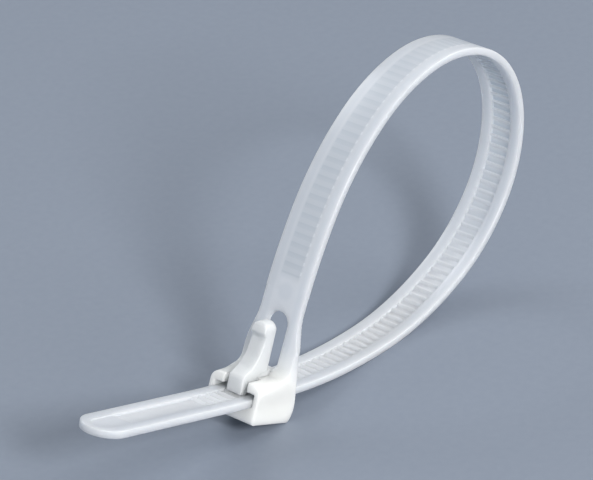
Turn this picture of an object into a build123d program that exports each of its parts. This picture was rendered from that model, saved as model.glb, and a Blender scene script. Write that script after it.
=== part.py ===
"""Releasable cable tie, threaded into a loop and standing on its head and strap.

The tie is laid out in its side view: x runs along the slot in the head towards
the loop, y runs up from the slot's floor, and the strap's width is global Y.
Places along the strap are stations, in mm. Station 0 is just outside the head,
the tail's stations are negative and the root of the strap has the highest.
"""
import os
from math import cos, radians, sin

from build123d import *

# ---- strap, mm ----
STRAP_WIDTH = 7.6
STRAP_THICKNESS = 1.2
CHANNEL_WIDTH = 3.6
CHANNEL_DEPTH = 0.45
CUT_CLEARANCE = 0.2

# ---- ladder of teeth on the strap's inner face, mm ----
TOOTH_PITCH = 1.55
TOOTH_COUNT = 106
FIRST_TOOTH = -21.1
TOOTH_HEIGHT = 0.35
TOOTH_LAND = 0.3
TOOTH_SLOPE = 0.4
CHANNEL_END = 142.6

# ---- run of the strap from tail to root: (length in mm, turn in degrees) ----
TAIL_STRAIGHT = 26.9
TAIL_BEND = (20, 4.8)
LOOP_BENDS = [
    (20, 12.0),
    (20, 23.7),
    (14, 28.5),
    (12, 32.3),
    (12, 37.1),
    (12, 35.9),
    (12, 29.3),
    (14, 26.6),
    (16, 21.1),
    (16, 11.2),
]
ROOT_STRAIGHT = 9.5

# ---- tail end, mm ----
TIP_RECESS_DEPTH = 0.2
TIP_RECESS_LENGTH = 8.0
TIP_RIM = 1.4
DEEP_CHANNEL_START = -38.5
CHANNEL_RAMP = 1.2

# ---- window and flare above the head, mm ----
WINDOW_WIDTH = 4.0
WINDOW_LENGTH = 9.0
WINDOW_FOOT_RADIUS = 1.2
WINDOW_REACH = 3.0
FLARE_LENGTH = 6.0

# ---- head: widths in mm, outline points in the side view ----
HEAD_WIDTH = 9.7
SLOT_WIDTH = 7.8
LIP_GAP = 4.6
BRIDGE_FRONT = -9.6
WALL_RADIUS = 0.9
FAIRING_RADIUS = 1.5
HEAD_TOP_FRONT = (-13.1, 3.3)
HEAD_SOLE_FRONT = (-14.25, -2.68)
HEAD_HEEL = (-5.5, -4.27)
HEAD_HEEL_BULGE = (-4.5, -3.2)
HEAD_BACK_FOOT = (-4.1, -1.2)
SLOT_SIDE = [(-16, -0.1), (-3, -0.76), (-3, 1.5), (-16, 1.9)]
BRIDGE_TOP = 2.75
LEVER_BAY = [
    (-16, 0.5),
    (BRIDGE_FRONT, 0.5),
    (BRIDGE_FRONT, BRIDGE_TOP),
    (-6.3, BRIDGE_TOP),
    (-6.3, 5.5),
    (-16, 5.5),
]

# ---- release lever, mm ----
LEVER_WIDTH = 2.8
LEVER_TIP = 11.5
HINGE = (-8.0, 3.0)
HINGE_THICKNESS = 0.8
HINGE_SPLIT = 0.16
PAWL_FRONT = -13.6
PAWL_BACK = -10.0
PAWL_CLEARANCE = 0.1
PAWL_TOOTH_BASE = 0.8
PAWL_TOOTH_LAND = 0.25
PAWL_TOOTH_OFFSET = 0.28
PAWL_POCKETS = (5, 6)

# ---- how it stands, degrees ----
STAND_TILT = 12.74

half_thickness = STRAP_THICKNESS / 2
half_width = STRAP_WIDTH / 2
floor_offset = half_thickness - CHANNEL_DEPTH
crest_offset = floor_offset + TOOTH_HEIGHT
tilt = radians(STAND_TILT)
side = Plane(origin=(0, 0, 0), x_dir=(cos(tilt), 0, -sin(tilt)), z_dir=(0, -1, 0))
front = Plane(origin=(0, 0, 0), x_dir=(0, 1, 0), z_dir=side.x_dir)


def lay_out_strap():
    """List the strap's runs as (first station, last station, x, y, heading, turn)."""
    runs = []
    station, x, y, heading = 0.0, 0.0, 0.0, 0.0
    for length, turn in LOOP_BENDS:
        runs.append((station, station + length, x, y, heading, turn))
        radius = length / radians(turn)
        x += radius * (sin(radians(heading + turn)) - sin(radians(heading)))
        y -= radius * (cos(radians(heading + turn)) - cos(radians(heading)))
        station += length
        heading += turn
    runs.append((station, station + ROOT_STRAIGHT, x, y, heading, 0.0))
    length, turn = TAIL_BEND
    radius = length / radians(turn)
    x, y = -radius * sin(radians(turn)), radius * (1 - cos(radians(turn)))
    runs.insert(0, (-length, 0.0, x, y, -turn, turn))
    x -= TAIL_STRAIGHT * cos(radians(turn))
    y += TAIL_STRAIGHT * sin(radians(turn))
    runs.insert(0, (-length - TAIL_STRAIGHT, -length, x, y, -turn, 0.0))
    return runs


RUNS = lay_out_strap()
tip_station = RUNS[0][0]
root_station = RUNS[-1][1]
root_start = root_station - ROOT_STRAIGHT


def find_run(station):
    """The run of the strap that a station lies on."""
    return next((run for run in RUNS if station <= run[1]), RUNS[-1])


def strap_heading(station):
    """Heading of the strap at a station, in degrees."""
    first, last, _, _, heading, turn = find_run(station)
    return heading + turn * (station - first) / (last - first)


def strap_point(station, offset):
    """Side-view point at a station, offset from mid-thickness towards the toothed face."""
    first, last, x, y, heading, turn = find_run(station)
    start, now = radians(heading), radians(strap_heading(station))
    if turn == 0:
        x += (station - first) * cos(start)
        y += (station - first) * sin(start)
    else:
        radius = (last - first) / radians(turn)
        x += radius * (sin(now) - sin(start))
        y -= radius * (cos(now) - cos(start))
    return x - offset * sin(now), y + offset * cos(now)


def draw_strap_side(offset, first, last):
    """Draw the line that follows the strap at an offset, as straight runs and arcs."""
    for begin, end, _, _, _, turn in RUNS:
        begin, end = max(begin, first), min(end, last)
        if begin >= end:
            continue
        start, finish = strap_point(begin, offset), strap_point(end, offset)
        if turn == 0:
            Line(start, finish)
        else:
            ThreePointArc(start, strap_point((begin + end) / 2, offset), finish)


def ladder_profile():
    """Points of the channel's floor and its teeth, from the tail to the root."""
    ramp_start = DEEP_CHANNEL_START - CHANNEL_RAMP
    points = [
        strap_point(ramp_start, half_thickness + CUT_CLEARANCE),
        strap_point(ramp_start, half_thickness - TIP_RECESS_DEPTH),
        strap_point(DEEP_CHANNEL_START, floor_offset),
    ]
    for index in range(TOOTH_COUNT):
        crest = FIRST_TOOTH + index * TOOTH_PITCH
        points.append(strap_point(crest - TOOTH_SLOPE, floor_offset))
        points.append(strap_point(crest, crest_offset))
        points.append(strap_point(crest + TOOTH_LAND, crest_offset))
        points.append(strap_point(crest + TOOTH_LAND, floor_offset))
    points.append(strap_point(CHANNEL_END, floor_offset))
    points.append(strap_point(CHANNEL_END, half_thickness + CUT_CLEARANCE))
    return points


def plan_plane(station):
    """Plane inside the strap at a station: x runs along it, z towards the toothed face."""
    heading = radians(strap_heading(station))
    along = side.x_dir * cos(heading) + side.y_dir * sin(heading)
    point = side.from_local_coords((*strap_point(station, 0), 0))
    return Plane(origin=point, x_dir=along, z_dir=along.cross(Vector(0, 1, 0)))


def soften(sketch, corner, radius):
    """Round the corner of a sketch that is nearest to a point."""
    fillet(sketch.vertices().sort_by_distance((*corner, 0))[0], radius)


def side_edge(part, x, y, flank):
    """The edge of a part nearest to a side-view point on one side of the head."""
    return part.edges().sort_by_distance(side.from_local_coords((x, y, flank * HEAD_WIDTH / 2)))[0]


tip_plane = plan_plane(tip_station)
root_plane = plan_plane(root_start)
neck_back = HINGE[0] - HINGE_THICKNESS / 2
neck_front = HINGE[0] + HINGE_THICKNESS / 2
neck_low = HINGE[1] - HINGE_SPLIT / 2
neck_high = HINGE[1] + HINGE_SPLIT / 2

# ---- strap and head: one moulding ----
with BuildPart() as strap_and_head:
    # head block: flat sole, sloping front, and a back that runs up into the strap
    shoulder = strap_point(root_station, -half_thickness)
    with BuildSketch(side) as head_side:
        with BuildLine():
            Polyline(
                HEAD_BACK_FOOT,
                strap_point(root_start + FLARE_LENGTH, half_thickness),
                strap_point(root_start + FLARE_LENGTH, -half_thickness),
                shoulder,
                HEAD_TOP_FRONT,
                HEAD_SOLE_FRONT,
                HEAD_HEEL,
            )
            ThreePointArc(HEAD_HEEL, HEAD_HEEL_BULGE, HEAD_BACK_FOOT)
        make_face()
        soften(head_side, shoulder, FAIRING_RADIUS)
    extrude(amount=HEAD_WIDTH / 2, both=True)
    wall_edges = []
    for flank in (-1, 1):
        wall_edges.append(side_edge(strap_and_head, -10.5, 3.05, flank))
        wall_edges.append(side_edge(strap_and_head, -13.7, 0.3, flank))
    fillet(wall_edges, WALL_RADIUS)

    # slot for the strap, roofed by two lips and, behind them, by the bridge
    with BuildSketch(side):
        Polygon(*SLOT_SIDE, align=None)
    extrude(amount=SLOT_WIDTH / 2, both=True, mode=Mode.SUBTRACT)
    with BuildSketch(side):
        Polygon(*LEVER_BAY, align=None)
    extrude(amount=LIP_GAP / 2, both=True, mode=Mode.SUBTRACT)

    # lower half of the web that the lever bends on
    with BuildSketch(side):
        Polygon((neck_back, 2), (neck_front, 2), (neck_front, neck_low), (neck_back, neck_low), align=None)
    extrude(amount=LEVER_WIDTH / 2, both=True)

    # the strap at its full thickness and width
    with BuildSketch(side):
        with BuildLine():
            draw_strap_side(-half_thickness, tip_station, root_station)
            draw_strap_side(half_thickness, tip_station, root_station)
            for end in (tip_station, root_station):
                Line(strap_point(end, -half_thickness), strap_point(end, half_thickness))
        make_face()
    extrude(amount=half_width, both=True)

    # the strap widens to the head's width as it comes down to it
    with BuildSketch(root_plane):
        with BuildLine():
            for flank in (-1, 1):
                narrow = (0, flank * half_width)
                wide = (FLARE_LENGTH, flank * HEAD_WIDTH / 2)
                Spline(narrow, wide, tangents=((1, 0), (1, 0)))
            for end, reach in ((0, half_width), (FLARE_LENGTH, HEAD_WIDTH / 2)):
                Line((end, -reach), (end, reach))
        make_face()
    extrude(amount=half_thickness, both=True)

    # channel with its ladder of teeth
    with BuildSketch(side):
        with BuildLine():
            Polyline(*ladder_profile())
            draw_strap_side(half_thickness + CUT_CLEARANCE, DEEP_CHANNEL_START - CHANNEL_RAMP, CHANNEL_END)
        make_face()
    extrude(amount=CHANNEL_WIDTH / 2, both=True, mode=Mode.SUBTRACT)

    # shallow recess that carries on towards the tip
    with BuildSketch(tip_plane.offset(half_thickness)):
        with Locations((TIP_RIM + (CHANNEL_WIDTH + TIP_RECESS_LENGTH) / 2, 0)):
            SlotCenterToCenter(TIP_RECESS_LENGTH, CHANNEL_WIDTH)
    extrude(amount=-TIP_RECESS_DEPTH, mode=Mode.SUBTRACT)

    # round end of the tail
    with BuildSketch(tip_plane):
        with Locations((half_width / 2, 0)):
            Rectangle(half_width, STRAP_WIDTH + 1)
        with Locations((half_width, 0)):
            Circle(half_width, mode=Mode.SUBTRACT)
    extrude(amount=STRAP_THICKNESS, both=True, mode=Mode.SUBTRACT)

    # window that the lever swings into
    with BuildSketch(root_plane) as window:
        with Locations((WINDOW_LENGTH / 2, 0)):
            Rectangle(WINDOW_LENGTH, WINDOW_WIDTH)
        fillet(window.vertices().group_by(Axis.X)[0], WINDOW_WIDTH / 2 - 0.01)
        fillet(window.vertices().group_by(Axis.X)[-1], WINDOW_FOOT_RADIUS)
    extrude(amount=WINDOW_REACH, both=True, mode=Mode.SUBTRACT)

# ---- release lever: finger grip above, toothed pawl below ----
with BuildPart() as release_lever:
    with BuildSketch(side) as lever_side:
        Polygon(
            strap_point(PAWL_FRONT, crest_offset + PAWL_CLEARANCE),
            (-13.25, 3.7),
            (-11.2, 4.75),
            (-9.9, 6.3),
            (-8.75, 9.2),
            (-9.35, 9.9),
            (-9.0, 10.9),
            (-8.55, LEVER_TIP),
            (-6.8, LEVER_TIP),
            (-6.5, 10.2),
            (-7.45, 4.2),
            (neck_front, 3.4),
            (neck_front, neck_high),
            (neck_back, neck_high),
            (neck_back, 3.4),
            (BRIDGE_FRONT, 3.4),
            (PAWL_BACK, 3.0),
            strap_point(PAWL_BACK, crest_offset + PAWL_CLEARANCE),
            align=None,
        )
        soften(lever_side, (-13.25, 3.7), 0.8)
        soften(lever_side, (-11.2, 4.75), 1.5)
        soften(lever_side, (-9.9, 6.3), 4.0)
    extrude(amount=LEVER_WIDTH / 2, both=True)

    # pawl teeth, steep on the side that holds the strap
    with BuildSketch(side):
        for pocket in PAWL_POCKETS:
            face = FIRST_TOOTH + pocket * TOOTH_PITCH + TOOTH_LAND + 2 * PAWL_CLEARANCE
            Polygon(
                strap_point(face, PAWL_TOOTH_OFFSET),
                strap_point(face + PAWL_TOOTH_LAND, PAWL_TOOTH_OFFSET),
                strap_point(face + PAWL_TOOTH_BASE, crest_offset + 2 * PAWL_CLEARANCE),
                strap_point(face, crest_offset + 2 * PAWL_CLEARANCE),
                align=None,
            )
    extrude(amount=LEVER_WIDTH / 2, both=True)

    # the finger grip ends in a full round
    with BuildSketch(front):
        with Locations((0, LEVER_TIP - LEVER_WIDTH / 2)):
            Circle(LEVER_WIDTH / 2)
        with Locations((0, LEVER_TIP / 2 - LEVER_WIDTH)):
            Rectangle(LEVER_WIDTH, LEVER_TIP + LEVER_WIDTH)
    extrude(amount=20, both=True, mode=Mode.INTERSECT)

# ---- stand the tie on the ground, centred over the origin ----
box = strap_and_head.part.bounding_box()
ground = Pos(-(box.min.X + box.max.X) / 2, 0, -box.min.Z)
heel_height = side.from_local_coords((*HEAD_HEEL, 0)).Z - box.min.Z
print("heel above the ground", round(heel_height, 4))
print("ground offset", ground.position)

os.makedirs("parts", exist_ok=True)
for name, piece in (("strap_and_head", strap_and_head), ("release_lever", release_lever)):
    standing = ground * piece.part
    standing.label = name
    export_step(standing, f"parts/{name}.step")
    print(name, "volume", round(standing.volume, 2), "solids", len(standing.solids()))
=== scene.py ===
# %% [markdown]
# # Releasable cable tie
# A natural nylon tie, moulded in one piece and threaded into an open loop. The strap carries a ladder
# of teeth, the head holds it with a pawl, and a thumb lever beside the window lifts the pawl.
# The solid model is loaded first, as a fixed frame. Each piece is then worked out in millimetres, where
# real sizes are easy to read, and turned to metres once it is finished.

# %% Set up the frame
from math import cos, pi, radians, sin, tan

import bmesh
import bpy
from mathutils import Matrix, Vector
from mathutils.kdtree import KDTree


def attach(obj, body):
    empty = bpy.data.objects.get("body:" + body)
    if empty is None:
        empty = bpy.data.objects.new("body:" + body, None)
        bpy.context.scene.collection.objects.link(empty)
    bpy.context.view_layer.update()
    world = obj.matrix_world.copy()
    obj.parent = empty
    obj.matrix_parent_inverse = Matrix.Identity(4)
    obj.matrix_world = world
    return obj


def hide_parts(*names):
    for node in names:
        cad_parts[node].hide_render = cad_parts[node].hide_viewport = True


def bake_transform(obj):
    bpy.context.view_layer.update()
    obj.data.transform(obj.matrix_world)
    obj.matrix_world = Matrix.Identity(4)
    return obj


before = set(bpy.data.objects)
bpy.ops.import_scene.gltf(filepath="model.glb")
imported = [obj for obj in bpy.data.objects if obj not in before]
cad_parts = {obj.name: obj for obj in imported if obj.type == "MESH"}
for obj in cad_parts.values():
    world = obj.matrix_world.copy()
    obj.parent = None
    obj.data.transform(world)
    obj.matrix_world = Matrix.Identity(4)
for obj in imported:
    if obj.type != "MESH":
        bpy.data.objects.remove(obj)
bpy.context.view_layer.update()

# %% [markdown]
# ## Sizes
# The tie's own side view: x runs through the head towards the loop and y up from the slot. Stations
# run along the strap in mm, from the tail's tip to the root. The same sizes drive the solid model, so
# the finished surfaces lie on it.

# %% Sizes of the tie, mm
STRAP_WIDTH, STRAP_THICKNESS = 7.6, 1.2
HALF_WIDTH, HALF_THICKNESS = STRAP_WIDTH / 2, STRAP_THICKNESS / 2
CHANNEL_HALF, CHANNEL_DEPTH, RECESS_DEPTH = 1.8, 0.45, 0.2
TOOTH_PITCH, TOOTH_COUNT, FIRST_TOOTH = 1.55, 106, -21.1
TOOTH_HEIGHT, TOOTH_LAND, TOOTH_SLOPE = 0.35, 0.3, 0.4
DEEP_START, RAMP, CHANNEL_END = -38.5, 1.2, 142.6
TAIL_STRAIGHT, TAIL_BEND, ROOT_STRAIGHT = 26.9, (20, 4.8), 9.5
LOOP_BENDS = [(20, 12.0), (20, 23.7), (14, 28.5), (12, 32.3), (12, 37.1),
              (12, 35.9), (12, 29.3), (14, 26.6), (16, 21.1), (16, 11.2)]
TIP_STATION = -(TAIL_STRAIGHT + TAIL_BEND[0])
ROOT_STATION = sum(length for length, _ in LOOP_BENDS) + ROOT_STRAIGHT
ROOT_START = ROOT_STATION - ROOT_STRAIGHT
JOIN_STATION, FLARE_LENGTH = 144.6, 6
HEAD_HALF, SLOT_HALF, LIP_HALF = 4.85, 3.9, 2.3
LEVER_HALF, LEVER_TIP = 1.4, 11.5
TILT = radians(12.74)
STAND = (-5.21826, 2.95198)
MM = 0.001
print("strap from", TIP_STATION, "to", ROOT_STATION)

# %% [markdown]
# ## Places on the tie
# A strap that is threaded through its own head bends into arcs that run smoothly into each other. The
# line could be drawn by hand, but a list of arcs, each with a length and a turn in degrees, is easy to
# read and gives the same line as the solid model. Three functions turn a station, or a point of the side
# view, into a place in the standing frame, where the head leans on its heel.

# %% Stations, side view and standing frame
def strap_point(station, offset=0.0):
    """Side-view point at a station, offset from mid-thickness towards the toothed face."""
    x = y = heading = 0.0
    if station < 0:
        length, turn = TAIL_BEND
        bend = -min(-station, length)
        heading = bend * turn / length
        radius = length / radians(turn)
        x, y = radius * sin(radians(heading)), radius * (1 - cos(radians(heading)))
        left = station - bend
    else:
        left = station
        for length, turn in LOOP_BENDS:
            step = min(left, length)
            radius = length / radians(turn)
            ahead = heading + turn * step / length
            x += radius * (sin(radians(ahead)) - sin(radians(heading)))
            y -= radius * (cos(radians(ahead)) - cos(radians(heading)))
            heading, left = ahead, left - step
            if left <= 0:
                break
    angle = radians(heading)
    x, y = x + left * cos(angle), y + left * sin(angle)
    return x - offset * sin(angle), y + offset * cos(angle)


def place(x, y, across=0.0):
    """A side-view point, and a distance across the width, in the standing frame."""
    along, up = x * cos(TILT) + y * sin(TILT), y * cos(TILT) - x * sin(TILT)
    return Vector((along + STAND[0], across, up + STAND[1]))


def plan_point(station, across, offset):
    """A point of the strap's root, where the strap is straight."""
    return place(*strap_point(station, offset), across)


print("root at", plan_point(ROOT_STATION, 0, 0))

# %% [markdown]
# ## Strap, laid flat
# The moulding tool holds the strap straight, so it is built straight: x is the station, y the place
# across and z the height, toothed face up. Bevelled boxes could make it, but one section carried along it
# in rings keeps every edge even. The tail ends in a half circle, and the channel starts as a shallow
# recess near the tip and then gets deeper. Below are the section and the channel's depth.

# %% Section of the strap
EDGE_RADIUS, EDGE_STEPS = 0.15, 4
CHANNEL_WALL = ((0.14, 0.0), (0.04, 0.08), (0.0, 0.25), (-0.06, 0.9), (-0.14, 1.0))


def channel_depth(station):
    """Depth of the channel at a station."""
    if station > CHANNEL_END:
        return 0.0
    ramp = min(max((station - DEEP_START) / RAMP + 1, 0), 1)
    return RECESS_DEPTH + (CHANNEL_DEPTH - RECESS_DEPTH) * ramp * ramp * (3 - 2 * ramp)


def half_section(depth):
    """Half of the strap's section: (inset from the edge or place across, height, is it an inset)."""
    low, high = [], []
    for step in range(EDGE_STEPS + 1):
        angle = pi / 2 * step / EDGE_STEPS
        near, far = EDGE_RADIUS * (1 - sin(angle)), EDGE_RADIUS * (1 - cos(angle))
        low.append((near, -HALF_THICKNESS + far, True))
        high.append((far, HALF_THICKNESS - near, True))
    wall = [(CHANNEL_HALF + across, HALF_THICKNESS - depth * part, False) for across, part in CHANNEL_WALL]
    return low + high + wall


print("points in half a section", len(half_section(CHANNEL_DEPTH)))

# %% [markdown]
# ## The blank
# Each ring of the blank is the section seen twice, once for each side. Along the straight part a ring
# stands at each station. Around the tip the rings turn about the centre of the round end instead, so the
# half circle and the end of the recess close without a seam.

# %% Flat strap
RECESS_CENTRE = TIP_STATION + 3.2
ROUND_CENTRE = TIP_STATION + HALF_WIDTH
RING_STEP, ROUND_STEPS, RAMP_STEPS = 0.6, 24, 8
OVERLAP, END_WALL, SAME_SPOT = 0.3, 0.08, 1e-4


def ring(turn, station):
    """One ring of the strap: along the round end by angle, then by station."""
    spots = []
    for place_across, height, is_inset in half_section(channel_depth(station)):
        reach = HALF_WIDTH - place_across if is_inset else place_across
        centre = ROUND_CENTRE if is_inset else RECESS_CENTRE
        along = centre - reach * cos(turn) if turn < pi / 2 else station
        spots.append((along, reach * sin(turn), height))
    return [(s, -a, h) for s, a, h in spots] + [(s, a, h) for s, a, h in reversed(spots)]


def make_object(name, bm):
    """Turn a bmesh into an object with its faces outward."""
    bmesh.ops.recalc_face_normals(bm, faces=bm.faces)
    mesh = bpy.data.meshes.new(name)
    bm.to_mesh(mesh)
    bm.free()
    thing = bpy.data.objects.new(name, mesh)
    bpy.context.scene.collection.objects.link(thing)
    return thing


def flat_strap():
    """The strap's blank, without its teeth."""
    bm = bmesh.new()
    end = JOIN_STATION + OVERLAP
    stations = [ROUND_CENTRE + RING_STEP * step for step in range(int((end - ROUND_CENTRE) / RING_STEP) + 1)]
    stations += [CHANNEL_END, CHANNEL_END + END_WALL, end]
    stations += [DEEP_START - RAMP * step / RAMP_STEPS for step in range(RAMP_STEPS + 1)]
    rings = [ring(pi / 2 * step / ROUND_STEPS, TIP_STATION) for step in range(ROUND_STEPS)]
    rings += [ring(pi / 2, station) for station in sorted(stations)]
    rows = [[bm.verts.new(spot) for spot in spots] for spots in rings]
    for before, after in zip(rows, rows[1:]):
        for index in range(len(before)):
            bm.faces.new((before[index - 1], before[index], after[index], after[index - 1]))
    bm.faces.new(rows[-1])
    bmesh.ops.remove_doubles(bm, verts=bm.verts, dist=SAME_SPOT)
    return make_object("strap", bm)


strap = flat_strap()
print("flat strap faces", len(strap.data.polygons))

# %% [markdown]
# ## One tooth of the ladder
# Each tooth is a low wedge across the channel, steep on the side that the pawl holds, with its crest
# rounded. A prism between two outlines is all it needs, and so few faces can be repeated a hundred times.
# It reaches a little into the floor and the walls, so that it joins them.

# %% Tooth
CREST_RADIUS, FLOOR_REACH, WALL_REACH = 0.07, 0.1, 0.05


def rounded(corners, radii, steps=8):
    """An outline with its corners rounded."""
    outline = []
    for index, radius in enumerate(radii):
        corner = Vector(corners[index])
        if not radius:
            outline.append(tuple(corner))
            continue
        back = (Vector(corners[index - 1]) - corner).normalized()
        ahead = (Vector(corners[(index + 1) % len(corners)]) - corner).normalized()
        half = back.angle(ahead) / 2
        centre = corner + (back + ahead).normalized() * radius / sin(half)
        start = corner + back * radius / tan(half) - centre
        finish = corner + ahead * radius / tan(half) - centre
        for step in range(steps + 1):
            outline.append(tuple(centre + start.slerp(finish, step / steps).normalized() * radius))
    return outline


def prism(name, near, far):
    """A closed prism between two outlines with the same number of points."""
    bm = bmesh.new()
    ends = [[bm.verts.new(point) for point in outline] for outline in (near, far)]
    bm.faces.new(ends[0])
    bm.faces.new(ends[1])
    for index in range(len(near)):
        bm.faces.new((ends[0][index - 1], ends[0][index], ends[1][index], ends[1][index - 1]))
    return make_object(name, bm)


def make_tooth():
    """A wedge whose crest starts at the origin."""
    floor = HALF_THICKNESS - CHANNEL_DEPTH
    foot, crest = floor - FLOOR_REACH, floor + TOOTH_HEIGHT
    corners = [(-TOOTH_SLOPE - FLOOR_REACH, foot), (TOOTH_LAND, foot), (TOOTH_LAND, crest), (0, crest)]
    outline = rounded(corners, [0, 0, CREST_RADIUS, CREST_RADIUS], 4)
    half = CHANNEL_HALF + WALL_REACH
    return prism("tooth", [(s, -half, h) for s, h in outline], [(s, half, h) for s, h in outline])


tooth = make_tooth()
print("tooth faces", len(tooth.data.polygons))

# %% [markdown]
# ## Centre line
# The line runs at mid-thickness from the tip to the root. It is a curve object, because a Geometry Nodes
# tree can measure its length and read its direction at any distance along it.

# %% Centre line
LINE_STEP = 0.4


def centre_line():
    """The line that the strap follows, as a curve."""
    curve = bpy.data.curves.new("centre_line", "CURVE")
    curve.dimensions = "3D"
    spline = curve.splines.new("POLY")
    steps = int((ROOT_STATION - TIP_STATION) / LINE_STEP)
    spline.points.add(steps)
    for index in range(steps + 1):
        station = TIP_STATION + (ROOT_STATION - TIP_STATION) * index / steps
        spline.points[index].co = (*place(*strap_point(station)), 1)
    line = bpy.data.objects.new("centre_line", curve)
    bpy.context.scene.collection.objects.link(line)
    return line


line = centre_line()
print("centre line points", len(line.data.splines[0].points))

# %% [markdown]
# ## A tree that makes the ladder and bends the strap
# A hundred teeth at an even pitch could be copied by hand, but then a new pitch would mean new copies. A
# Geometry Nodes tree repeats one tooth from a few named inputs. This cell makes the tree's sockets, and
# keeps each input's identifier, which is what a modifier is set by.

# %% Sockets of the tree
class Tree:
    """Short ways to add nodes and links to one Geometry Nodes tree."""

    def __init__(self, name):
        self.group = bpy.data.node_groups.new(name, "GeometryNodeTree")
        self.sockets = {}

    def node(self, kind, **values):
        """A node with its settings."""
        made = self.group.nodes.new(kind)
        for key, value in values.items():
            setattr(made, key, value)
        return made

    def link(self, source, target):
        """Feed one socket into another."""
        self.group.links.new(source, target)

    def declare(self, inputs):
        """Make the group's own inputs and its output."""
        face = self.group.interface
        face.new_socket("Geometry", in_out="INPUT", socket_type="NodeSocketGeometry")
        for name, kind in inputs:
            socket = face.new_socket(name, in_out="INPUT", socket_type="NodeSocket" + kind)
            self.sockets[name] = socket.identifier
        face.new_socket("Geometry", in_out="OUTPUT", socket_type="NodeSocketGeometry")


bend_tree = Tree("bend_strap")
bend_tree.declare((("Centre Line", "Object"), ("Tooth", "Object"), ("Teeth", "Int"), ("Pitch", "Float"),
                   ("First Tooth", "Float"), ("Tip Station", "Float"), ("Material", "Material")))
print("inputs", list(bend_tree.sockets))

# %% [markdown]
# ## Teeth along the channel
# A row of points at the pitch carries one copy of the tooth each. The copies are made real and joined to
# the blank, so that teeth, floor and walls are one closed skin. Each point's flat place is stored before
# anything bends, and the nylon's colours are laid out by it later.

# %% Ladder part of the tree
def repeat_tooth(tree, given):
    """The tooth at every pitch of the channel."""
    row = tree.node("GeometryNodeMeshLine", mode="OFFSET", count_mode="TOTAL")
    start, gap = tree.node("ShaderNodeCombineXYZ"), tree.node("ShaderNodeCombineXYZ")
    tree.link(given.outputs["First Tooth"], start.inputs["X"])
    tree.link(given.outputs["Pitch"], gap.inputs["X"])
    tree.link(given.outputs["Teeth"], row.inputs["Count"])
    tree.link(start.outputs[0], row.inputs["Start Location"])
    tree.link(gap.outputs[0], row.inputs["Offset"])
    pattern = tree.node("GeometryNodeObjectInfo")
    tree.link(given.outputs["Tooth"], pattern.inputs["Object"])
    repeat, real = tree.node("GeometryNodeInstanceOnPoints"), tree.node("GeometryNodeRealizeInstances")
    tree.link(row.outputs["Mesh"], repeat.inputs["Points"])
    tree.link(pattern.outputs["Geometry"], repeat.inputs["Instance"])
    tree.link(repeat.outputs["Instances"], real.inputs["Geometry"])
    return real.outputs["Geometry"]


def join_ladder(tree, given, teeth, spot):
    """The teeth joined to the blank, with each point's flat place stored."""
    union = tree.node("GeometryNodeMeshBoolean", operation="UNION", solver="EXACT")
    tree.link(teeth, union.inputs["Mesh 2"])
    tree.link(given.outputs["Geometry"], union.inputs["Mesh 2"])
    keep = tree.node("GeometryNodeStoreNamedAttribute", data_type="FLOAT_VECTOR", domain="POINT")
    keep.inputs["Name"].default_value = "flat"
    tree.link(union.outputs["Mesh"], keep.inputs["Geometry"])
    tree.link(spot.outputs["Position"], keep.inputs["Value"])
    return keep.outputs["Geometry"]


given, spot = bend_tree.node("NodeGroupInput"), bend_tree.node("GeometryNodeInputPosition")
ladder = join_ladder(bend_tree, given, repeat_tooth(bend_tree, given), spot)
print("ladder nodes", len(bend_tree.group.nodes))

# %% [markdown]
# ## Laying the strap along the line
# A point's station says how far along the line it goes, its height how far off the line, and its place
# across stays as it is. The direction off the line is square to both the line and the width. A Curve
# modifier would do nearly the same, but it can twist where a loop climbs steeply, and this can't.

# %% Bending part of the tree
def off_line(tree, sample, height):
    """A step off the line, towards the toothed face."""
    up = tree.node("ShaderNodeVectorMath", operation="CROSS_PRODUCT")
    tree.link(sample.outputs["Tangent"], up.inputs[0])
    up.inputs[1].default_value = (0, 1, 0)
    unit = tree.node("ShaderNodeVectorMath", operation="NORMALIZE")
    tree.link(up.outputs[0], unit.inputs[0])
    lift = tree.node("ShaderNodeVectorMath", operation="SCALE")
    tree.link(unit.outputs[0], lift.inputs[0])
    tree.link(height, lift.inputs["Scale"])
    return lift.outputs[0]


def bent_place(tree, given, spot):
    """Where a point of the flat strap goes."""
    parts = tree.node("ShaderNodeSeparateXYZ")
    tree.link(spot.outputs["Position"], parts.inputs[0])
    along = tree.node("ShaderNodeMath", operation="SUBTRACT")
    tree.link(parts.outputs["X"], along.inputs[0])
    tree.link(given.outputs["Tip Station"], along.inputs[1])
    path = tree.node("GeometryNodeObjectInfo")
    tree.link(given.outputs["Centre Line"], path.inputs["Object"])
    sample = tree.node("GeometryNodeSampleCurve", mode="LENGTH")
    tree.link(path.outputs["Geometry"], sample.inputs["Curves"])
    tree.link(along.outputs[0], sample.inputs["Length"])
    across = tree.node("ShaderNodeCombineXYZ")
    tree.link(parts.outputs["Y"], across.inputs["Y"])
    first = tree.node("ShaderNodeVectorMath", operation="ADD")
    tree.link(sample.outputs["Position"], first.inputs[0])
    tree.link(off_line(tree, sample, parts.outputs["Z"]), first.inputs[1])
    total = tree.node("ShaderNodeVectorMath", operation="ADD")
    tree.link(first.outputs[0], total.inputs[0])
    tree.link(across.outputs[0], total.inputs[1])
    return total.outputs[0]


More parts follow.
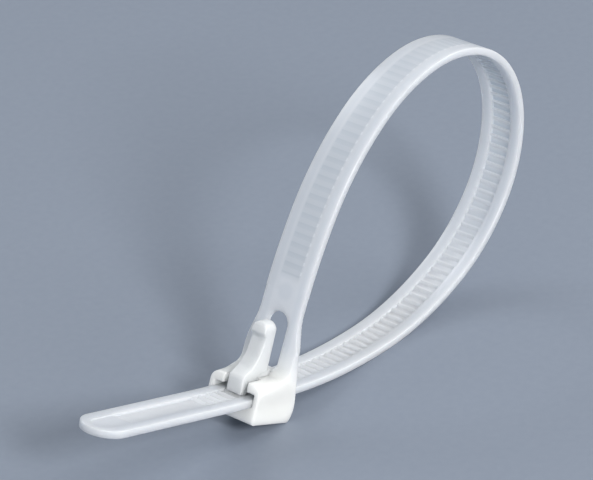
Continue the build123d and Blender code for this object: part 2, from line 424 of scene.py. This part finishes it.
def finish_tree(tree, given, geometry, position):
    """Move the points, make everything real and set the material."""
    bend = tree.node("GeometryNodeSetPosition")
    tree.link(geometry, bend.inputs["Geometry"])
    tree.link(position, bend.inputs["Position"])
    final, paint = tree.node("GeometryNodeRealizeInstances"), tree.node("GeometryNodeSetMaterial")
    tree.link(bend.outputs["Geometry"], final.inputs["Geometry"])
    tree.link(final.outputs["Geometry"], paint.inputs["Geometry"])
    tree.link(given.outputs["Material"], paint.inputs["Material"])
    tree.link(paint.outputs["Geometry"], tree.node("NodeGroupOutput").inputs["Geometry"])


finish_tree(bend_tree, given, ladder, bent_place(bend_tree, given, spot))
print("tree nodes", len(bend_tree.group.nodes))

# %% [markdown]
# ## The bent strap
# The modifier's inputs are set by their sockets' identifiers before the strap is first evaluated. The
# result is kept as a plain mesh, and the line and the single tooth have then done their work.

# %% Bent strap
def settle(thing):
    """Keep what the modifiers make as a plain mesh."""
    graph = bpy.context.evaluated_depsgraph_get()
    whole = thing.evaluated_get(graph)
    mesh = bpy.data.meshes.new_from_object(whole, preserve_all_data_layers=True, depsgraph=graph)
    thing.modifiers.clear()
    thing.data = mesh
    return thing


strap_material = bpy.data.materials.new("strap_finish")
lever_material = bpy.data.materials.new("lever_finish")
bending = strap.modifiers.new("bend", "NODES")
bending.node_group = bend_tree.group
for name, value in (("Centre Line", line), ("Tooth", tooth), ("Teeth", TOOTH_COUNT), ("Pitch", TOOTH_PITCH),
                    ("First Tooth", FIRST_TOOTH), ("Tip Station", TIP_STATION), ("Material", strap_material)):
    bending[bend_tree.sockets[name]] = value
settle(strap)
bpy.data.objects.remove(line)
bpy.data.objects.remove(tooth)
print("bent strap faces", len(strap.data.polygons), "materials", [m.name for m in strap.data.materials])

# %% [markdown]
# ## Head block
# The head is a thick block that the strap grows out of. Its side view, carried across the width, gives
# the whole block. The moulder rounds the tops of the side walls with one large radius, so those edges are
# bevelled while the block is still simple, before anything is cut from it.

# %% Head block
FRONT_TOP, FRONT_FOOT = (-13.1, 3.3), (-14.25, -2.68)
WALL_RADIUS, WALL_SEGMENTS, WALL_DROP = 1.6, 8, 0.7
WALL_START, WALL_END = place(-13.2, 3).x, place(-6.2, 5).x


def side_prism(name, outline, half):
    """A side-view outline carried across the width."""
    return prism(name, [place(x, y, -half) for x, y in outline], [place(x, y, half) for x, y in outline])


def head_outline():
    """Side view of the head, up to where the strap's root is as wide as the head."""
    heel, bulge, foot = Vector((-5.5, -4.27)), Vector((-4.5, -3.2)), Vector((-4.1, -1.2))
    pull = bulge * 2 - (heel + foot) / 2
    arc = []
    for t in (0.2, 0.4, 0.6, 0.8, 1.0):
        arc.append(tuple(heel * (1 - t) ** 2 + pull * 2 * t * (1 - t) + foot * t * t))
    top = ROOT_START + FLARE_LENGTH
    corners = [strap_point(top, HALF_THICKNESS), strap_point(top, -HALF_THICKNESS),
               strap_point(ROOT_STATION, -HALF_THICKNESS), FRONT_TOP, FRONT_FOOT, tuple(heel)]
    return rounded(corners + arc, [0, 0, 1.8, 0, 0.4, 0.25] + [0] * len(arc), 6)


def is_top_edge(a, b):
    """An edge along the top of a side wall, from the front to the foot of the root."""
    middle = (a + b) / 2
    inside = WALL_START < middle.x < WALL_END and middle.z > place(*FRONT_TOP).z - WALL_DROP
    return inside and abs(a.y - b.y) < 0.01


def round_walls(block):
    """Round the top edges of the block's side walls."""
    bm = bmesh.new()
    bm.from_mesh(block.data)
    picked = [edge for edge in bm.edges if is_top_edge(*(v.co.copy() for v in edge.verts))]
    bmesh.ops.bevel(bm, geom=picked, offset=WALL_RADIUS, segments=WALL_SEGMENTS, profile=0.5,
                    affect="EDGES", clamp_overlap=False)
    bm.to_mesh(block.data)
    bm.free()
    return len(picked)


head = side_prism("head", head_outline(), HEAD_HALF)
print("edges rounded", round_walls(head))

# %% [markdown]
# ## Front of the head
# The upright corners at the front have a small radius. A second bevel would cross the first one at the
# top of the walls, so the block is kept within a tall cavity with round corners instead, whose front
# leans as the head's front does.

# %% Front corners of the head
FRONT_RADIUS, SIDE_ROOM = 0.25, 0.005


def combine(thing, operation, *others):
    """Cut from a piece, join to it or keep what it shares with others."""
    for other in others:
        modifier = thing.modifiers.new(operation, "BOOLEAN")
        modifier.operation, modifier.object, modifier.solver = operation, other, "EXACT"
        settle(thing)
        bpy.data.objects.remove(other)
    return thing


def front_x(height):
    """Where the head's sloping front is at a height of the side view."""
    (top_x, top_y), (foot_x, foot_y) = FRONT_TOP, FRONT_FOOT
    return foot_x + (height - foot_y) * (top_x - foot_x) / (top_y - foot_y)


def front_gauge():
    """A cavity with round front corners, taller and longer than the head."""
    wide = HEAD_HALF + SIDE_ROOM
    corners = [(-SIDE_ROOM, -wide), (-SIDE_ROOM, wide), (14, wide), (14, -wide)]
    plan = rounded(corners, [FRONT_RADIUS, FRONT_RADIUS, 0, 0])
    return prism("front_gauge", *[[place(front_x(h) + x, h, a) for x, a in plan] for h in (-8, 16)])


combine(head, "INTERSECT", front_gauge())
print("head faces", len(head.data.polygons))

# %% [markdown]
# ## Root of the strap
# Behind the bay the strap grows out of the head and narrows from the head's width to its own. The root is
# a flat plate in plan, a hair thinner than the strap, so that a faint line is left where the two meet.
# It reaches up to the join and is united with the block.

# %% Root of the strap, flared to the head's width
SKIN, FLARE_STEPS = 0.012, 20


def plan_prism(name, outline, low, high):
    """A plan outline of (station, across) carried through the root of the strap."""
    ends = [[plan_point(station, across, offset) for station, across in outline] for offset in (low, high)]
    return prism(name, *ends)


def flare_outline():
    """Plan of the root: an easy curve from the strap's width to the head's."""
    side = [(JOIN_STATION, HALF_WIDTH - SKIN)]
    for step in range(FLARE_STEPS + 1):
        t = step / FLARE_STEPS
        wide = HALF_WIDTH - SKIN + (HEAD_HALF - HALF_WIDTH) * t * t * (3 - 2 * t)
        side.append((ROOT_START + FLARE_LENGTH * t, wide))
    return side + [(s, -a) for s, a in reversed(side)]


combine(head, "UNION", plan_prism("root", flare_outline(), SKIN - HALF_THICKNESS, HALF_THICKNESS - SKIN))
print("head and root faces", len(head.data.polygons))

# %% [markdown]
# ## Slot, bay, seat and window
# The strap passes through the slot. Above it the bay is open between the two lips, and the lever sits in
# it, with its foot in a narrow seat. The window in the strap is what the lever swings into. All four are
# cut with prisms. No edge of a moulding is sharp, and bevels fail where so many cuts meet, so the head
# then gets a fine even skin whose edges are relaxed, as a polished mould leaves them.

# %% Cuts in the head
WINDOW_LENGTH, WINDOW_HALF, SEAT_ROOM = 9, 2, 0.12
HEAD_VOXEL, HEAD_PASSES = 0.115, 6


def soften(thing, voxel, passes):
    """Give a piece an even skin and relax its edges."""
    skin = thing.modifiers.new("skin", "REMESH")
    skin.mode, skin.voxel_size = "VOXEL", voxel
    relax = thing.modifiers.new("relax", "SMOOTH")
    relax.factor, relax.iterations = 0.5, passes
    settle(thing)
    thing.data.shade_smooth()
    print(thing.name, "skin faces", len(thing.data.polygons))
    return thing


window_end = ROOT_START + WINDOW_LENGTH
window = rounded([(ROOT_START, -WINDOW_HALF), (ROOT_START, WINDOW_HALF), (window_end, WINDOW_HALF),
                  (window_end, -WINDOW_HALF)], [1.99, 1.99, 1.2, 1.2])
slot = [(-16, -0.1), (-3, -0.76), (-3, 1.5), (-16, 1.9)]
bay = [(-16, 0.5), (-9.9, 0.5), (-9.9, 5.5), (-16, 5.5)]
seat = [(-10.5, 0.5), (-9.6, 0.5), (-9.6, 2.75), (-6.3, 2.75), (-6.3, 5.5), (-10.5, 5.5)]
combine(head, "DIFFERENCE", side_prism("slot", slot, SLOT_HALF), side_prism("bay", bay, LIP_HALF),
        side_prism("seat", seat, LEVER_HALF + SEAT_ROOM), plan_prism("window", window, -3, 3))
soften(head, HEAD_VOXEL, HEAD_PASSES)
print("head box", [round(v, 2) for v in head.dimensions])

# %% [markdown]
# ## Strap and head as one moulding
# The real tie comes out of the mould in one piece, so the strap and the head are joined. A join drops the
# flat places that the tree stored, so they are looked up before it and written back after it. A point of
# the head has no flat place, and gets a station that grows down and forward through the block instead.

# %% Join
SAME_PLACE, LEAD, CREASE_ANGLE = 0.002, 1, radians(32)


def remember(thing):
    """A tree of a bent piece's points, and each point's flat place."""
    tree = KDTree(len(thing.data.vertices))
    for vertex in thing.data.vertices:
        tree.insert(vertex.co, vertex.index)
    tree.balance()
    return tree, [tuple(item.vector) for item in thing.data.attributes["flat"].data]


def restore(thing, tree, places):
    """Write the flat places back, and for the head its depth as a station."""
    mark = thing.data.attributes.get("flat") or thing.data.attributes.new("flat", "FLOAT_VECTOR", "POINT")
    root = plan_point(ROOT_START, 0, 0)
    for vertex, item in zip(thing.data.vertices, mark.data):
        _, index, gap = tree.find(vertex.co)
        forward = max(0, root.x - vertex.co.x - LEAD)
        depth = ROOT_START + root.z - vertex.co.z + forward
        item.vector = places[index] if gap < SAME_PLACE else (depth, vertex.co.y, -HALF_THICKNESS)


def to_metres(thing):
    """Turn a finished piece from millimetres to metres."""
    thing.data.transform(Matrix.Scale(MM, 4))
    return thing


strap_tree, strap_places = remember(strap)
head.data.materials.append(strap_material)
combine(strap, "UNION", head)
restore(strap, strap_tree, strap_places)
strap.name = "strap_and_head_moulding"
strap.data.shade_smooth()
strap.data.set_sharp_from_angle(angle=CREASE_ANGLE)
to_metres(strap)
triangles = sum(len(polygon.vertices) - 2 for polygon in strap.data.polygons)
print("moulding faces", len(strap.data.polygons), "triangles", triangles)

# %% [markdown]
# ## Release lever
# A finger grip on a sloping pawl, with a shallow step where the thumb rests. Its side view is carried
# across its width, and a gauge seen from the front cuts its end to a full round. A sculpted shape would
# be softer still, but two outlines keep every size easy to read.

# %% Lever
PAWL_LOW = HALF_THICKNESS - CHANNEL_DEPTH + TOOTH_HEIGHT + 0.1
GAUGE_HALF, GAUGE_STEPS = 1.405, 24


def lever_blank():
    """Grip and pawl, cut to a full round at the end."""
    corners = [strap_point(-13.6, PAWL_LOW), (-13.25, 3.7), (-11.2, 4.75), (-9.85, 6.3), (-8.72, 9.15),
               (-9.35, 9.9), (-9.0, 10.9), (-8.55, LEVER_TIP), (-6.8, LEVER_TIP), (-6.5, 10.2), (-7.45, 4.2),
               (-7.6, 3.08), (-9.6, 3.08), (-10, 3.0), strap_point(-10, PAWL_LOW)]
    radii = [0.1, 0.9, 1.5, 3.5, 0.7, 0.45, 0.5, 0.4, 0.5, 0.5, 0.5, 0, 0, 0, 0.15]
    blank = side_prism("release_lever_moulding", rounded(corners, radii), LEVER_HALF)
    arc = []
    for step in range(GAUGE_STEPS // 2, GAUGE_STEPS + 1):
        angle = pi * step / GAUGE_STEPS
        arc.append((LEVER_HALF * sin(angle), LEVER_TIP - LEVER_HALF - LEVER_HALF * cos(angle)))
    round_end = [(-a, h) for a, h in arc] + [(a, h) for a, h in reversed(arc)]
    front = [(-GAUGE_HALF, -4)] + round_end + [(GAUGE_HALF, -4)]
    gauge = prism("gauge", [place(-20, h, a) for a, h in front], [place(0, h, a) for a, h in front])
    return combine(blank, "INTERSECT", gauge)


lever = lever_blank()
print("pawl's underside at", round(PAWL_LOW, 3), "lever faces", len(lever.data.polygons))

# %% [markdown]
# ## Pawl teeth and living hinge
# Two teeth under the pawl match the ladder. The lever bends on a short thick web, part of the same
# moulding, and its foot runs out over the bridge as a low mound, so that no gap shows. The web and the
# mound are joined to the lever before it is softened, because a separate web would look like a stone
# laid there.

# %% Pawl teeth and foot of the lever
PAWL_GAP, PAWL_CREST, PAWL_SLOPE, PAWL_TIP = 0.2, 0.25, 0.8, 0.28
LEVER_VOXEL, LEVER_PASSES = 0.075, 8


def pawl_tooth(pocket):
    """A tooth under the pawl that fits one pocket of the ladder."""
    face, root = FIRST_TOOTH + pocket * TOOTH_PITCH + TOOTH_LAND + PAWL_GAP, PAWL_LOW + 0.2
    wedge = [strap_point(face, PAWL_TIP), strap_point(face + PAWL_CREST, PAWL_TIP),
             strap_point(face + PAWL_SLOPE, root), strap_point(face, root)]
    return side_prism("pawl_tooth", wedge, LEVER_HALF - 0.01)


def skirt(low, high):
    """A low mound from two rings, each as (front, back, half width, front height, back height)."""
    rings = []
    for front, back, half, front_height, back_height in (low, high):
        rings.append([place(front, front_height, -half), place(back, back_height, -half),
                      place(back, back_height, half), place(front, front_height, half)])
    return prism("skirt", *rings)


web = skirt((-9.9, -6.4, 1.5, 2.4, 2.4), (-9.9, -6.4, 1.5, 3.2, 3.2))
mound = skirt((-9.8, -6.5, 1.8, 2.9, 3.0), (-9.1, -7.3, 1.39, 3.5, 3.7))
combine(lever, "UNION", pawl_tooth(5), pawl_tooth(6), web, mound)
soften(lever, LEVER_VOXEL, LEVER_PASSES)
to_metres(lever)
lever.data.materials.append(lever_material)
print("lever box in mm", [round(v / MM, 2) for v in lever.dimensions])

# %% [markdown]
# ## Nylon that both pieces share
# Natural nylon is milky: light goes in, spreads about a millimetre and comes out again. Faint clouds come
# from the melt and a fine grain from the mould. Both finishes need them, so they are one node group that
# puts out cloudiness as a value and the grain as a normal. Both read Object coordinates, in metres.

# %% Clouds and grain
def nylon_group():
    """A node group: cloudiness as a value, and a fine grain as a normal."""
    group = bpy.data.node_groups.new("nylon_surface", "ShaderNodeTree")
    for name, value in (("Cloud Scale", 90.0), ("Grain Scale", 2600.0), ("Grain", 0.04)):
        socket = group.interface.new_socket(name, in_out="INPUT", socket_type="NodeSocketFloat")
        socket.default_value = value
    group.interface.new_socket("Clouds", in_out="OUTPUT", socket_type="NodeSocketFloat")
    group.interface.new_socket("Normal", in_out="OUTPUT", socket_type="NodeSocketVector")
    nodes, links = group.nodes, group.links
    given, result = nodes.new("NodeGroupInput"), nodes.new("NodeGroupOutput")
    where = nodes.new("ShaderNodeTexCoord")
    clouds, grain = nodes.new("ShaderNodeTexNoise"), nodes.new("ShaderNodeTexNoise")
    clouds.inputs["Detail"].default_value = 3
    grain.inputs["Detail"].default_value = 2
    bump = nodes.new("ShaderNodeBump")
    bump.inputs["Distance"].default_value = 0.00003
    for noise, scale in ((clouds, "Cloud Scale"), (grain, "Grain Scale")):
        links.new(where.outputs["Object"], noise.inputs["Vector"])
        links.new(given.outputs[scale], noise.inputs["Scale"])
    links.new(given.outputs["Grain"], bump.inputs["Strength"])
    links.new(grain.outputs["Fac"], bump.inputs["Height"])
    links.new(clouds.outputs["Fac"], result.inputs["Clouds"])
    links.new(bump.outputs["Normal"], result.inputs["Normal"])
    return group


nylon = nylon_group()
print("nylon group nodes", len(nylon.nodes))

# %% [markdown]
# ## Laying colours over each other
# Each finish is a base colour with tints laid over it, the way washes are laid on paper. Doing it by hand
# takes several lines a node, so a small helper adds the maths and the mixing. It also places the shared
# nylon group and sets how far light spreads.

# %% Helper for materials
class Paint:
    """Short ways to add nodes to one material."""

    def __init__(self, material):
        material.use_nodes = True
        self.nodes, self.links = material.node_tree.nodes, material.node_tree.links
        self.shader = self.nodes["Principled BSDF"]

    def math(self, operation, *values, clamp=False):
        """A maths node fed by sockets or numbers."""
        made = self.nodes.new("ShaderNodeMath")
        made.operation, made.use_clamp = operation, clamp
        for index, value in enumerate(values):
            if isinstance(value, (int, float)):
                made.inputs[index].default_value = value
            else:
                self.links.new(value, made.inputs[index])
        return made.outputs[0]

    def product(self, *values):
        """Several sockets or numbers multiplied in turn."""
        result = values[0]
        for value in values[1:]:
            result = self.math("MULTIPLY", result, value)
        return result

    def band(self, value, low, high, soft):
        """1 between two values, with soft ends."""
        rise = self.math("DIVIDE", self.math("SUBTRACT", value, low - soft / 2), soft, clamp=True)
        fall = self.math("DIVIDE", self.math("SUBTRACT", high + soft / 2, value), soft, clamp=True)
        return self.product(rise, fall)

    def mix(self, amount, first, second):
        """Mix two colours, each a socket or a plain colour."""
        made = self.nodes.new("ShaderNodeMix")
        made.data_type = "RGBA"
        self.links.new(amount, made.inputs["Factor"])
        for name, colour in (("A", first), ("B", second)):
            target = [s for s in made.inputs if s.name == name and s.type == "RGBA"][0]
            if isinstance(colour, tuple):
                target.default_value = (*colour, 1)
            else:
                self.links.new(colour, target)
        return [s for s in made.outputs if s.type == "RGBA"][0]

    def nylon_surface(self, roughness, spread):
        """Add the shared clouds and grain, and set how nylon scatters light."""
        surface = self.nodes.new("ShaderNodeGroup")
        surface.node_tree = nylon
        self.links.new(surface.outputs["Normal"], self.shader.inputs["Normal"])
        for name, value in (("Subsurface Weight", 1.0), ("Subsurface Radius", (1.0, 1.0, 1.0)), ("IOR", 1.53),
                            ("Roughness", roughness), ("Subsurface Scale", spread)):
            self.shader.inputs[name].default_value = value
        return surface.outputs["Clouds"]


print("helper", Paint.__name__)

# %% [markdown]
# ## Where a point lies on the strap
# The strap's tints follow its teeth, so they read the flat place that was stored before it was bent:
# station, place across and height. From the station come the phase within one tooth pitch, and a mask
# that is 1 where the ladder runs.

# %% Strap's own places in its material
# The third colour is painted shade for the channel floor, pockets and rails, and also the real pin mark's
# tone.
CLEAR, PALE, PAINTED_SHADE_AND_PIN_MARK = (0.73, 0.77, 0.83), (0.80, 0.83, 0.89), (0.34, 0.42, 0.49)
# The last colour is painted light: glow in the channel floor and highlights on the channel wall.
WARM, MILK, PAINTED_GLOW = (0.75, 0.755, 0.725), (0.775, 0.785, 0.765), (0.90, 0.94, 1.0)
EVER = 999
OUTER_FACE = -0.4


class StrapPaint(Paint):
    """Paint that knows where a point lies on the flat strap."""

    def __init__(self, material):
        super().__init__(material)
        self.clouds = self.nylon_surface(roughness=0.3, spread=0.0035)
        flat = self.nodes.new("ShaderNodeAttribute")
        flat.attribute_name = "flat"
        split = self.nodes.new("ShaderNodeSeparateXYZ")
        self.links.new(flat.outputs["Vector"], split.inputs[0])
        self.station, self.across, self.height = split.outputs
        self.away = self.math("ABSOLUTE", self.across)
        first_slope = FIRST_TOOTH - TOOTH_SLOPE
        past = self.math("SUBTRACT", self.station, first_slope - 100 * TOOTH_PITCH)
        self.phase = self.math("MODULO", past, TOOTH_PITCH)
        self.ladder = self.band(self.station, first_slope, CHANNEL_END - 0.3, 0.2)
        self.colour = self.mix(self.clouds, CLEAR, PALE)

    def tint(self, mask, colour):
        """Lay a colour over the strap where a mask is above 0."""
        self.colour = self.mix(mask, self.colour, colour)


strap_paint = StrapPaint(strap_material)
print("strap paint nodes", len(strap_paint.nodes))

# %% [markdown]
# ## Channel and pockets, with painted shade and painted light
# The floor of the channel is thin. High on the loop it is painted darker and cooler, as painted shade for the
# shaded table seen through it, and along the lower run it is painted paler, as painted light that gathers in
# it. The pockets between the teeth get painted shade, darkest just behind a tooth and fading towards the next,
# and it shows more faintly through the outer face.

# %% Painted shade and painted light in the channel
POCKET_START, POCKET_FADE = 0.75, 1.3
EARLY_END, EARLY_SOFT = 60, 34
HIGH_START, HIGH_END = 55, 92


def tint_floor(paint):
    """Painted shade on the floor late along the strap, painted light on it before."""
    deep = paint.band(paint.station, DEEP_START - RAMP / 2, CHANNEL_END, 1.2)
    floor = paint.product(paint.band(paint.away, -1, CHANNEL_HALF, 0.4), deep)
    late = paint.band(paint.station, EARLY_END, EVER, EARLY_SOFT)
    early = paint.product(floor, paint.math("SUBTRACT", 1.0, late))
    # painted shade: the floor darker and cooler high on the loop
    paint.tint(paint.product(floor, late, 0.22), PAINTED_SHADE_AND_PIN_MARK)
    # painted light: the floor paler along the lower run
    paint.tint(paint.product(early, 0.45), PAINTED_GLOW)


def tint_pockets(paint):
    """Painted shade in the pockets, seen from the toothed face, and fainter from the outer face."""
    gone = paint.math("DIVIDE", paint.math("SUBTRACT", paint.phase, POCKET_START), POCKET_FADE)
    fade = paint.math("SUBTRACT", 1.0, gone, clamp=True)
    between = paint.band(paint.phase, POCKET_START, TOOTH_PITCH, 0.14)
    inside = paint.band(paint.away, -1, CHANNEL_HALF - 0.1, 0.15)
    pocket = paint.product(between, fade, paint.ladder, inside)
    high = paint.product(paint.band(paint.station, HIGH_START, HIGH_END, EARLY_SOFT), 0.58)
    inner_face = paint.band(paint.height, OUTER_FACE, 1, 0.2)
    inner = paint.product(pocket, inner_face, paint.math("ADD", high, 0.02))
    outer = paint.product(pocket, paint.band(paint.height, -1, OUTER_FACE, 0.2))
    # painted shade in the pockets, deeper high on the loop
    paint.tint(paint.math("ADD", inner, paint.product(outer, 0.24)), PAINTED_SHADE_AND_PIN_MARK)


tint_floor(strap_paint)
tint_pockets(strap_paint)
print("strap paint nodes", len(strap_paint.nodes))

# %% [markdown]
# ## Rim, rails and pin mark, with painted highlights and painted shade
# Light that runs inside the strap comes out at the ends of the teeth; it is painted in, so the near wall of
# the channel shows a row of painted highlights, bright dashes. The rails beside the channel are painted a
# shade deeper in their middle, as painted shade for the darker table seen through them. Above the window,
# where a pin pushes the tie out of the mould, there is a faint round mark on the outer face.

# %% Painted highlights and shade along the edges, and the pin mark
PIN_STATION, PIN_RADIUS = 144.9, 1.3


def tint_rim_glow(paint):
    """Painted highlights: bright dashes along one wall of the channel."""
    near_wall = paint.band(paint.across, -1.95, -1.7, 0.15)
    dash = paint.product(paint.band(paint.phase, 0.1, 0.62, 0.15), near_wall)
    # painted highlight: bright dashes where light leaves the teeth
    paint.tint(paint.product(dash, paint.ladder, 0.85), PAINTED_GLOW)


def tint_rail_shade(paint):
    """Painted shade along the middle of the rails, for the darker table seen through them."""
    # painted shade: the rails a shade deeper in their middle
    paint.tint(paint.product(paint.band(paint.away, 2.3, 3.3, 0.5), 0.14), PAINTED_SHADE_AND_PIN_MARK)


def tint_pin_mark(paint):
    """A faint disc on the outer face above the window."""
    along = paint.math("SUBTRACT", paint.station, PIN_STATION)
    square = paint.math("ADD", paint.product(along, along), paint.product(paint.away, paint.away))
    reach = paint.math("SQRT", square)
    disc = paint.product(paint.band(reach, -1, PIN_RADIUS, 0.6), paint.band(paint.height, -1, OUTER_FACE, 0.2))
    paint.tint(paint.product(disc, 0.12), PAINTED_SHADE_AND_PIN_MARK)


tint_rim_glow(strap_paint)
tint_rail_shade(strap_paint)
tint_pin_mark(strap_paint)
print("strap paint nodes", len(strap_paint.nodes))

# %% [markdown]
# ## Thick nylon in the head
# Thin nylon looks cool and lets some light straight through. In the head it is thick, so it turns warmer,
# whiter and nearly opaque. One mask does both, and it follows the station that the join gave the head.

# %% Head's share of the strap nylon
THICK_STATION, THICK_SOFT, CLEARNESS = 157, 7, 0.32


def thicken(paint):
    """Warm milky colour and no clear light where the nylon is thick."""
    thick = paint.band(paint.station, THICK_STATION, EVER, THICK_SOFT)
    paint.tint(thick, paint.mix(paint.clouds, WARM, MILK))
    clear = paint.product(paint.math("SUBTRACT", 1.0, thick), CLEARNESS)
    paint.links.new(clear, paint.shader.inputs["Transmission Weight"])
    paint.links.new(paint.colour, paint.shader.inputs["Base Color"])


thicken(strap_paint)
print("strap paint nodes", len(strap_paint.nodes))

# %% [markdown]
# ## Lever nylon
# The lever is of middling thickness. Its nylon is painted a little darker and cooler than the head's, as
# painted shade that holds back the strong key light on the grip. It has no ladder to follow and needs only the
# shared clouds and grain, with less light passing through.

# %% Lever nylon
LEVER_SHADED_DARK, LEVER_SHADED_PALE = (0.66, 0.68, 0.69), (0.70, 0.715, 0.725)


def paint_lever(material):
    """The same nylon, painted a little darker and cooler as painted shade against the key light on the grip.
    """
    paint = Paint(material)
    clouds = paint.nylon_surface(roughness=0.34, spread=0.0025)
    # painted shade: both lever tones are darker and cooler than the head's, to hold back the key light on the
    # grip
    paint.links.new(paint.mix(clouds, LEVER_SHADED_DARK, LEVER_SHADED_PALE), paint.shader.inputs["Base Color"])
    paint.shader.inputs["Transmission Weight"].default_value = 0.15


paint_lever(lever_material)
print("materials", [m.name for m in bpy.data.materials])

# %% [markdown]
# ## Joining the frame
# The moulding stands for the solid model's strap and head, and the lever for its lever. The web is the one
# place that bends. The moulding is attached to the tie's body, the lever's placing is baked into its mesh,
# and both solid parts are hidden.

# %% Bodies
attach(strap, "tie")
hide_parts("strap_and_head")
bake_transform(lever)
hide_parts("release_lever")

# %% [markdown]
# ## Table top
# The tie stands on a plain blue-grey sheet, a grid of one face with a faint even grain. Translucent nylon
# takes some of its colour from what is under it, so the sheet's tone matters to the strap as well.

# %% Table top
TOP_SIZE, TOP_GRAIN = 3, 700


def table_top():
    """A matt table top with a faint grain."""
    bm = bmesh.new()
    bmesh.ops.create_grid(bm, x_segments=1, y_segments=1, size=TOP_SIZE)
    top = make_object("table_top", bm)
    material = bpy.data.materials.new("table_paper")
    paint = Paint(material)
    where, noise = paint.nodes.new("ShaderNodeTexCoord"), paint.nodes.new("ShaderNodeTexNoise")
    noise.inputs["Scale"].default_value = TOP_GRAIN
    paint.links.new(where.outputs["Object"], noise.inputs["Vector"])
    paint.links.new(paint.mix(noise.outputs["Fac"], (0.185, 0.215, 0.27), (0.205, 0.238, 0.293)),
                    paint.shader.inputs["Base Color"])
    paint.shader.inputs["Roughness"].default_value = 0.6
    top.data.materials.append(material)
    return top


print("table top", [round(v, 2) for v in table_top().dimensions])

# %% [markdown]
# ## Lights
# A soft key light stands in front, so that the loop throws its shadow back over the table. A larger fill
# comes from the right and a weak light from above and behind. With one light alone the
# far side of the nylon would look dull, and the other two lift it.

# %% Lights
def soft_light(name, location, aim, size, power, colour):
    """A square soft light that points at a spot."""
    data = bpy.data.lights.new(name, "AREA")
    data.size, data.energy, data.color = size, power, colour
    lamp = bpy.data.objects.new(name, data)
    lamp.location = location
    lamp.rotation_euler = (Vector(aim) - Vector(location)).to_track_quat("-Z", "Y").to_euler()
    bpy.context.scene.collection.objects.link(lamp)


soft_light("key", (-0.30, -0.76, 0.51), (0, 0, 0.015), 0.22, 8.8, (1.0, 0.99, 0.97))
soft_light("fill", (0.60, -0.40, 0.45), (0, 0, 0.015), 0.50, 3.8, (1.0, 0.98, 0.95))
soft_light("back", (0.10, 0.60, 0.50), (0, 0, 0.02), 0.40, 2.0, (0.95, 0.98, 1.0))
world = bpy.data.worlds.new("studio")
world.use_nodes = True
world.node_tree.nodes["Background"].inputs["Color"].default_value = (0.90, 0.94, 1.0, 1)
world.node_tree.nodes["Background"].inputs["Strength"].default_value = 0.44
bpy.context.scene.world = world
bpy.context.scene.view_settings.view_transform = "Standard"
print("lights", [light.name for light in bpy.data.lights])

# %% [markdown]
# ## Camera
# A long lens, a little over half a metre away, looks down on the tie from the tail's side, so that the
# head, the window and both faces of the strap are seen at once and nothing is stretched.

# %% Camera
camera_data = bpy.data.cameras.new("camera")
camera_data.lens, camera_data.sensor_width = 224.44, 36
camera = bpy.data.objects.new("camera", camera_data)
camera.location = (-0.37588, -0.31123, 0.30181)
camera.rotation_euler = (radians(60.451), radians(0.911), radians(-50.695))
bpy.context.scene.collection.objects.link(camera)
bpy.context.scene.camera = camera
print("camera is", round(camera.location.length, 3), "m away")
